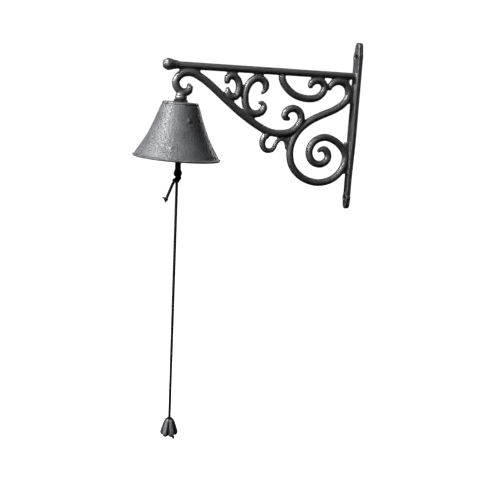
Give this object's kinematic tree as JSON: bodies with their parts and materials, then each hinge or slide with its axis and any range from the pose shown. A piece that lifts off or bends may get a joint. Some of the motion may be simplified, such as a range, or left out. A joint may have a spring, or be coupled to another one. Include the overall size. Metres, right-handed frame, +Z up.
{
  "type": "wall mounted bell",
  "caption": "Cast scroll bracket for a wall, with a flared bell bolted under its hook and a clapper rung by a long weighted pull cord.",
  "frame": {"origin": "centre of the back plate's wall face", "axes": "+Y points into the wall, so the bracket reaches out towards -Y; +Z is up; the scrolls lie in the plane x = 0"},
  "size_m": [0.092, 0.2515, 0.4506],
  "materials": {
    "bracket_iron": "cast iron with a dark charcoal satin coat",
    "bell_iron": "cast iron, mid grey, slightly pebbled",
    "clapper_iron": "cast iron, near black",
    "weight_iron": "cast iron, dark grey, darker in the flutes",
    "zinc_steel": "zinc plated steel",
    "washer_rubber": "black rubber",
    "cord_black": "braided black cord"
  },
  "bodies": {
    "bracket": {"wall_plate": "bracket_iron", "top_arm": "bracket_iron", "arm_knob": "bracket_iron", "spiral_scroll": "bracket_iron", "s_scroll": "bracket_iron", "j_scroll": "bracket_iron", "c_scroll_large": "bracket_iron", "c_scroll_small": "bracket_iron", "loop_scroll": "bracket_iron", "bell_boss": "bracket_iron", "seat_washer": "washer_rubber", "bell_shell": "bell_iron", "inner_washer": "zinc_steel", "bell_nut": "zinc_steel", "eye_bolt": "zinc_steel"},
    "link": {"clapper_link": "zinc_steel"},
    "clapper": {"clapper": "clapper_iron"},
    "cord": {"cord_knot": "cord_black", "pull_cord": "cord_black", "cord_tail": "cord_black", "tail_knot": "cord_black", "stopper_knot": "cord_black"},
    "weight": {"pull_weight": "weight_iron"}
  },
  "joints": [
    {"name": "link_swing", "type": "hinge", "parent": "bracket", "child": "link", "pos_m": [0, -0.20371, 0.00435], "axis": [1, 0, 0], "range_deg": [-42, 38]},
    {"name": "clapper_rock", "type": "hinge", "parent": "link", "child": "clapper", "pos_m": [0, -0.20371, -0.00285], "axis": [0, 1, 0], "range_deg": [-8, 8]},
    {"name": "cord_swing", "type": "hinge", "parent": "clapper", "child": "cord", "pos_m": [0, -0.20371, -0.053], "axis": [1, 0, 0], "range_deg": [-20, 27]},
    {"name": "weight_spin", "type": "hinge", "parent": "cord", "child": "weight", "pos_m": [0, -0.20441, -0.34], "axis": [0, 0, 1], "continuous": true}
  ]
}
